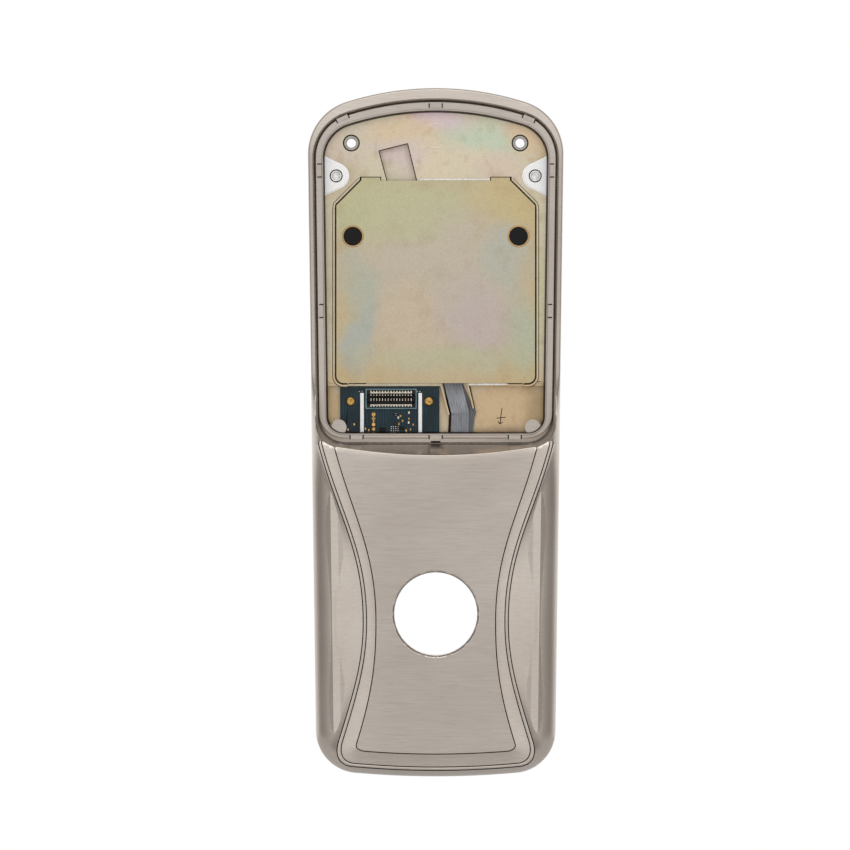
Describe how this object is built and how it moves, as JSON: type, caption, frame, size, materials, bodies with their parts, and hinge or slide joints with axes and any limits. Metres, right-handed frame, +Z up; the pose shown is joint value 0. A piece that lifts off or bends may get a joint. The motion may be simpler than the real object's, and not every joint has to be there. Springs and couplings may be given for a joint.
{
  "type": "keypad lock outside escutcheon",
  "caption": "Outside escutcheon of a keypad lock with the keypad and lever taken off: nickel housing, plated chassis plate, cable cover, controller board and ribbon cable.",
  "frame": {"origin": "axis of the lever hole at the door's face", "axes": "+X right, +Z up along the long side, front faces -Y, +Y into the door"},
  "size_m": [0.0908, 0.028, 0.2443],
  "materials": {
    "satin_nickel": "satin nickel, brushed sideways",
    "yellow_chromate": "yellow chromate with a faint iridescence",
    "zinc_steel": "bright zinc",
    "brass": "plain brass",
    "white_nylon": "white, matte",
    "black_rubber": "black, matte",
    "black_plastic": "black, matte",
    "teal_board": "dark teal lacquer",
    "grey_pvc": "grey ribbon insulation",
    "tinned_copper": "tinned"
  },
  "bodies": {
    "escutcheon": {"housing": "satin_nickel", "door_gasket": "black_rubber", "bolt_post_left": "zinc_steel", "bolt_post_right": "zinc_steel", "mounting_plate": "yellow_chromate", "plate_screw_1": "zinc_steel", "plate_screw_2": "zinc_steel", "plate_screw_3": "zinc_steel", "plate_screw_4": "zinc_steel", "clinch_nut_left": "zinc_steel", "clinch_nut_right": "zinc_steel", "keypad_ear_left": "white_nylon", "keypad_ear_right": "white_nylon", "ear_pin_left": "zinc_steel", "ear_pin_right": "zinc_steel", "controller_board": "teal_board", "board_standoff_left": "zinc_steel", "board_standoff_right": "zinc_steel", "board_screw_left": "brass", "board_screw_right": "brass", "board_header": "black_plastic", "controller_chip": "black_plastic", "header_contacts_upper": "tinned_copper", "header_contacts_lower": "tinned_copper", "header_shroud": "teal_board", "board_rail_left": "white_nylon", "board_rail_right": "white_nylon", "ribbon_cable": "grey_pvc", "ribbon_socket": "black_plastic"},
    "lift_off_cover": {"cable_cover": "yellow_chromate", "cover_plug_left": "black_rubber", "cover_plug_right": "black_rubber"}
  },
  "joints": [
    {"name": "cover_lift_off", "type": "slide", "parent": "escutcheon", "child": "lift_off_cover", "axis": [0, -1, 0], "range_m": [0, 0.03]}
  ]
}
